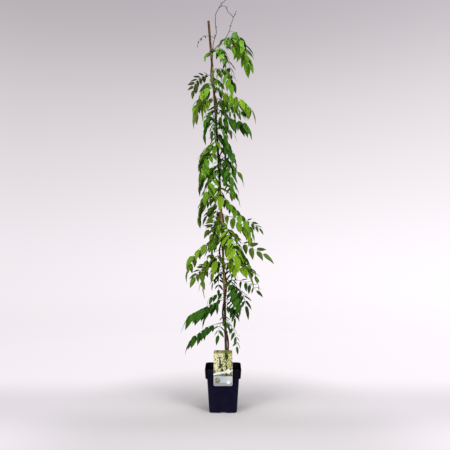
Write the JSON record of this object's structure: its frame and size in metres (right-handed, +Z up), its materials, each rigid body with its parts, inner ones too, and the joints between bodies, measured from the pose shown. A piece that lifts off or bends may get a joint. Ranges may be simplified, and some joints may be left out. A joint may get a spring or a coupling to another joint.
{
  "type": "wisteria in a pot",
  "caption": "Young climbing plant with drooping feather-shaped leaves, its woody stem twined round a cane and tied to it, in a tall square pot with a hanging label.",
  "frame": {"origin": "middle of the flat underside of the pot", "axes": "+Z up along the plant; the label hangs on the -Y side; the cane leans towards -X"},
  "size_m": [0.4522, 0.3071, 2.0343],
  "materials": {
    "pot_plastic": "smooth black plastic with a blue cast and a soft sheen",
    "soil": "dark moist potting soil with crumbs of bark",
    "cane": "dry tan bamboo with raised joints, red-brown towards its top",
    "bark": "dull dark brown bark",
    "shoot": "thin grey-green bark",
    "tie": "soft black plastic tie",
    "label_print": "satin printed plastic card",
    "label_clip": "white plastic",
    "leaf_young": "satin yellow-green leaf",
    "leaf_fresh": "satin mid-green leaf",
    "leaf_dark": "satin dark green leaf"
  },
  "bodies": {
    "root": {"pot": "pot_plastic", "soil": "soil", "cane": "cane", "stem": "bark", "shoot_left": "shoot", "shoot_right": "shoot", "tie_1": "tie", "tie_2": "tie", "tie_3": "tie", "tie_4": "tie", "label_card": "label_print", "label_strap": "label_clip", "label_button": "label_clip", "leaf_01": "leaf_young", "leaf_02": "leaf_fresh", "leaf_03": "leaf_fresh", "leaf_04": "leaf_dark", "leaf_05": "leaf_fresh", "leaf_06": "leaf_fresh", "leaf_07": "leaf_young", "leaf_08": "leaf_young", "leaf_09": "leaf_young", "leaf_10": "leaf_fresh", "leaf_11": "leaf_fresh", "leaf_12": "leaf_dark", "leaf_13": "leaf_dark", "leaf_14": "leaf_dark", "leaf_15": "leaf_dark", "leaf_16": "leaf_fresh", "leaf_17": "leaf_dark", "leaf_18": "leaf_fresh", "leaf_19": "leaf_dark", "leaf_20": "leaf_fresh", "leaf_21": "leaf_fresh", "leaf_22": "leaf_fresh", "leaf_23": "leaf_fresh", "leaf_24": "leaf_fresh", "leaf_25": "leaf_young", "leaf_26": "leaf_fresh", "leaf_27": "leaf_young", "leaf_28": "leaf_young", "leaf_29": "leaf_fresh", "leaf_30": "leaf_young", "leaf_31": "leaf_young", "leaf_32": "leaf_young", "leaf_33": "leaf_dark", "leaf_34": "leaf_young", "leaf_35": "leaf_young", "leaf_36": "leaf_young", "leaf_37": "leaf_dark", "leaf_38": "leaf_dark", "leaf_39": "leaf_fresh", "leaf_40": "leaf_dark", "leaf_41": "leaf_dark", "leaf_42": "leaf_dark", "leaf_43": "leaf_dark", "leaf_44": "leaf_dark", "leaf_45": "leaf_dark", "leaf_46": "leaf_young", "leaf_47": "leaf_fresh"}
  },
  "joints": []
}
